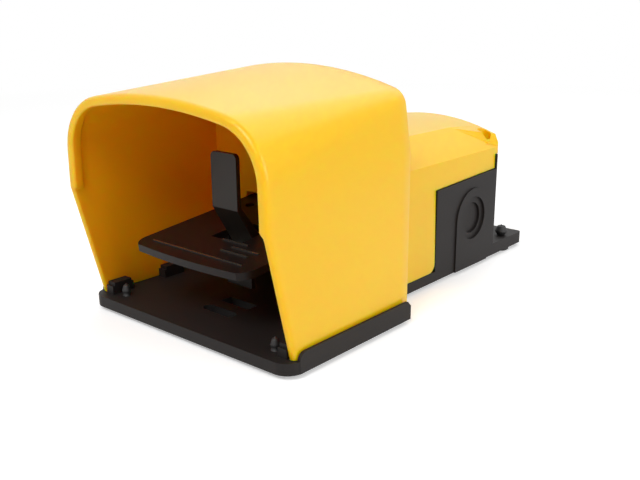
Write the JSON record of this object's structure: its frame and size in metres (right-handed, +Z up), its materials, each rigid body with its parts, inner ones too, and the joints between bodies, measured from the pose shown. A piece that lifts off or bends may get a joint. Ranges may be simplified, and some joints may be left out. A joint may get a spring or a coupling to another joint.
{
  "type": "guarded foot switch",
  "caption": "Guarded industrial foot switch: tall hood over a spring-return pedal with a toe-pushed safety lever, and a covered switch chamber behind.",
  "frame": {"origin": "on the floor under the middle of the outline, at the underside of the rubber feet", "axes": "+Z up, +Y towards the switch chamber at the rear, the foot goes in from -Y, +X to the right seen from the front"},
  "size_m": [0.16, 0.286, 0.1404],
  "materials": {
    "black_moulding": "fine spark-eroded texture, matt",
    "yellow_moulding": "satin moulded safety yellow",
    "pedal_moulding": "matt black with moulded grip bars",
    "lever_moulding": "satin black",
    "nylon_bush": "natural nylon",
    "ground_steel": "ground",
    "spring_steel": "drawn wire",
    "zinc_steel": "bright zinc plated",
    "zinc_plate": "zinc plated sheet",
    "buffer_rubber": "matt",
    "gasket_rubber": "matt cellular",
    "foot_rubber": "matt",
    "grey_moulding": "satin",
    "lid_moulding": "satin",
    "red_moulding": "satin",
    "contact_brass": "stamped"
  },
  "bodies": {
    "frame": {"base": "black_moulding", "knockout_rings": "black_moulding", "hood": "yellow_moulding", "hood_screws": "zinc_steel", "rear_cover": "yellow_moulding", "cover_gasket": "gasket_rubber", "cover_screws": "zinc_steel", "pedal_axle": "ground_steel", "axle_clips": "zinc_steel", "return_springs": "spring_steel", "down_stops": "buffer_rubber", "rest_stop": "buffer_rubber", "rubber_feet": "foot_rubber", "mounting_plate": "zinc_plate", "plate_screws": "zinc_steel", "block_left": "grey_moulding", "block_right": "grey_moulding", "block_lid_left": "lid_moulding", "block_lid_right": "lid_moulding", "block_spring_left": "spring_steel", "block_spring_right": "spring_steel", "fixed_contacts_left": "contact_brass", "fixed_contacts_right": "contact_brass", "terminal_screws": "zinc_steel", "block_screws": "zinc_steel", "earth_terminal": "contact_brass", "earth_screw": "zinc_steel"},
    "pedal": {"pedal": "pedal_moulding", "pedal_bushes": "nylon_bush", "lever_pin": "ground_steel", "lever_spring": "spring_steel"},
    "lever": {"toe_lever": "lever_moulding"},
    "plunger_left": {"plunger_left": "red_moulding", "bridge_left": "contact_brass"},
    "plunger_right": {"plunger_right": "red_moulding", "bridge_right": "contact_brass"}
  },
  "joints": [
    {"name": "pedal_hinge", "type": "hinge", "parent": "frame", "child": "pedal", "pos_m": [0, -0.001, 0.0505], "axis": [1, 0, 0], "range_deg": [0, 10], "stiffness_Nm_per_rad": 6, "springref_deg": -11.46, "deforming": ["return_springs"]},
    {"name": "toe_lever_hinge", "type": "hinge", "parent": "pedal", "child": "lever", "pos_m": [0, -0.07749, 0.04451], "axis": [1, 0, 0], "range_deg": [-20, 0], "stiffness_Nm_per_rad": 0.1, "springref_deg": 17.19, "deforming": ["lever_spring"]},
    {"name": "plunger_left_slide", "type": "slide", "parent": "frame", "child": "plunger_left", "axis": [0, 0, 1], "range_m": [0, 0.0037], "stiffness_N_per_m": 150, "springref_m": -0.004, "deforming": ["block_spring_left"]},
    {"name": "plunger_right_slide", "type": "slide", "parent": "frame", "child": "plunger_right", "axis": [0, 0, 1], "range_m": [0, 0.0037], "stiffness_N_per_m": 150, "springref_m": -0.004, "deforming": ["block_spring_right"]}
  ],
  "couplings": [
    {"joint": "toe_lever_hinge", "follows": "pedal_hinge", "ratio": -2},
    {"joint": "plunger_left_slide", "follows": "pedal_hinge", "m_per_rad": 0.0208},
    {"joint": "plunger_right_slide", "follows": "pedal_hinge", "m_per_rad": 0.0208}
  ]
}
